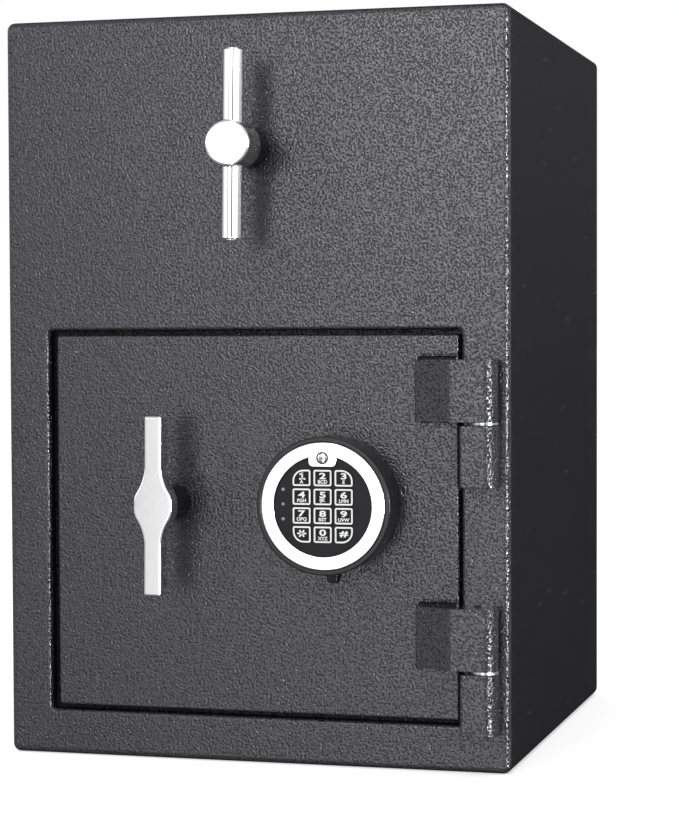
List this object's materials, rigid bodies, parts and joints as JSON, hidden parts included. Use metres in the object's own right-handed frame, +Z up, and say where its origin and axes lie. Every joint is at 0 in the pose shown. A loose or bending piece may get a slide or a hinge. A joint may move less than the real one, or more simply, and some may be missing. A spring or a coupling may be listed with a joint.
{
  "type": "rotary hopper safe",
  "caption": "Steel deposit safe with a top mouth, a rotary drum turned by a front bar handle, and a keypad locked door on outside hinges.",
  "frame": {"origin": "centre of the cabinet's underside, on the surface it stands on", "axes": "+Z up, -Y out of the front face towards the user, +X to the user's right, hinge side"},
  "size_m": [0.3556, 0.4076, 0.508],
  "materials": {
    "hammered_paint": "charcoal hammertone powder coat",
    "plain_paint": "smooth satin dark paint",
    "chrome": "polished chrome plate",
    "bright_steel": "ground bright steel",
    "zinc_steel": "zinc plated steel",
    "brass": "turned brass",
    "black_plastic": "fine textured moulded black",
    "key_plastic": "smooth black keys with printed white digits",
    "lamp_plastic": "smoked grey light pipe",
    "felt": "thin charcoal felt"
  },
  "bodies": {
    "cabinet": {"cabinet_wrap": "hammered_paint", "front_fascia": "hammered_paint", "back_plate": "hammered_paint", "floor_mat": "felt", "door_frame": "hammered_paint", "hinge_knuckle_upper": "hammered_paint", "hinge_knuckle_lower": "hammered_paint", "hinge_pin_upper": "bright_steel", "hinge_pin_lower": "bright_steel", "hinge_washer_upper": "bright_steel", "hinge_washer_lower": "bright_steel", "hopper_throat": "zinc_steel", "hopper_collar": "hammered_paint", "front_bush": "brass", "stop_ring": "zinc_steel", "rear_bracket": "zinc_steel", "rear_bush": "brass", "baffle_left": "zinc_steel", "baffle_right": "zinc_steel"},
    "hopper": {"drum_shell": "zinc_steel", "drum_front_disc": "zinc_steel", "drum_rear_disc": "zinc_steel", "hopper_spindle": "bright_steel", "stop_pin": "bright_steel", "drum_rear_axle": "bright_steel", "hopper_hub": "chrome", "hopper_bar": "chrome"},
    "door": {"door_plate": "hammered_paint", "hinge_leaf_upper": "hammered_paint", "hinge_leaf_lower": "hammered_paint", "handle_collar": "hammered_paint", "door_cover": "plain_paint", "bolt_guide": "zinc_steel", "dead_bar": "zinc_steel", "lock_case": "zinc_steel", "keypad_housing": "black_plastic", "keypad_ring": "chrome", "keypad_panel": "black_plastic", "led_light_pipe": "lamp_plastic", "contact_nub": "black_plastic"},
    "handle": {"door_handle": "chrome", "handle_spindle": "bright_steel", "drive_cam": "zinc_steel"},
    "boltwork": {"bolt_carriage": "zinc_steel", "locking_bolt_top": "bright_steel", "locking_bolt_middle": "bright_steel", "locking_bolt_bottom": "bright_steel"},
    "lock": {"lock_bolt": "brass"},
    "button_1": {"key_1": "key_plastic"},
    "button_2": {"key_2": "key_plastic"},
    "button_3": {"key_3": "key_plastic"},
    "button_4": {"key_4": "key_plastic"},
    "button_5": {"key_5": "key_plastic"},
    "button_6": {"key_6": "key_plastic"},
    "button_7": {"key_7": "key_plastic"},
    "button_8": {"key_8": "key_plastic"},
    "button_9": {"key_9": "key_plastic"},
    "button_star": {"key_star": "key_plastic"},
    "button_0": {"key_0": "key_plastic"},
    "button_hash": {"key_hash": "key_plastic"}
  },
  "joints": [
    {"name": "hopper_turn", "type": "hinge", "parent": "cabinet", "child": "hopper", "pos_m": [0, -0.1, 0.4168], "axis": [0, 1, 0], "range_deg": [0, 180]},
    {"name": "door_swing", "type": "hinge", "parent": "cabinet", "child": "door", "pos_m": [0.1628, -0.1873, 0.15], "axis": [0, 0, 1], "range_deg": [0, 150]},
    {"name": "handle_turn", "type": "hinge", "parent": "door", "child": "handle", "pos_m": [-0.056, -0.18, 0.1773], "axis": [0, -1, 0], "range_deg": [0, 90]},
    {"name": "bolt_throw", "type": "slide", "parent": "door", "child": "boltwork", "axis": [-1, 0, 0], "range_m": [0, 0.024]},
    {"name": "lock_bolt_slide", "type": "slide", "parent": "door", "child": "lock", "axis": [0, 0, 1], "range_m": [0, 0.008]},
    {"name": "press_1", "type": "slide", "parent": "door", "child": "button_1", "axis": [0, 1, 0], "range_m": [0, 0.0012], "stiffness_N_per_m": 800},
    {"name": "press_2", "type": "slide", "parent": "door", "child": "button_2", "axis": [0, 1, 0], "range_m": [0, 0.0012], "stiffness_N_per_m": 800},
    {"name": "press_3", "type": "slide", "parent": "door", "child": "button_3", "axis": [0, 1, 0], "range_m": [0, 0.0012], "stiffness_N_per_m": 800},
    {"name": "press_4", "type": "slide", "parent": "door", "child": "button_4", "axis": [0, 1, 0], "range_m": [0, 0.0012], "stiffness_N_per_m": 800},
    {"name": "press_5", "type": "slide", "parent": "door", "child": "button_5", "axis": [0, 1, 0], "range_m": [0, 0.0012], "stiffness_N_per_m": 800},
    {"name": "press_6", "type": "slide", "parent": "door", "child": "button_6", "axis": [0, 1, 0], "range_m": [0, 0.0012], "stiffness_N_per_m": 800},
    {"name": "press_7", "type": "slide", "parent": "door", "child": "button_7", "axis": [0, 1, 0], "range_m": [0, 0.0012], "stiffness_N_per_m": 800},
    {"name": "press_8", "type": "slide", "parent": "door", "child": "button_8", "axis": [0, 1, 0], "range_m": [0, 0.0012], "stiffness_N_per_m": 800},
    {"name": "press_9", "type": "slide", "parent": "door", "child": "button_9", "axis": [0, 1, 0], "range_m": [0, 0.0012], "stiffness_N_per_m": 800},
    {"name": "press_star", "type": "slide", "parent": "door", "child": "button_star", "axis": [0, 1, 0], "range_m": [0, 0.0012], "stiffness_N_per_m": 800},
    {"name": "press_0", "type": "slide", "parent": "door", "child": "button_0", "axis": [0, 1, 0], "range_m": [0, 0.0012], "stiffness_N_per_m": 800},
    {"name": "press_hash", "type": "slide", "parent": "door", "child": "button_hash", "axis": [0, 1, 0], "range_m": [0, 0.0012], "stiffness_N_per_m": 800}
  ],
  "couplings": [
    {"joint": "bolt_throw", "follows": "handle_turn", "m_per_rad": 0.015278}
  ]
}
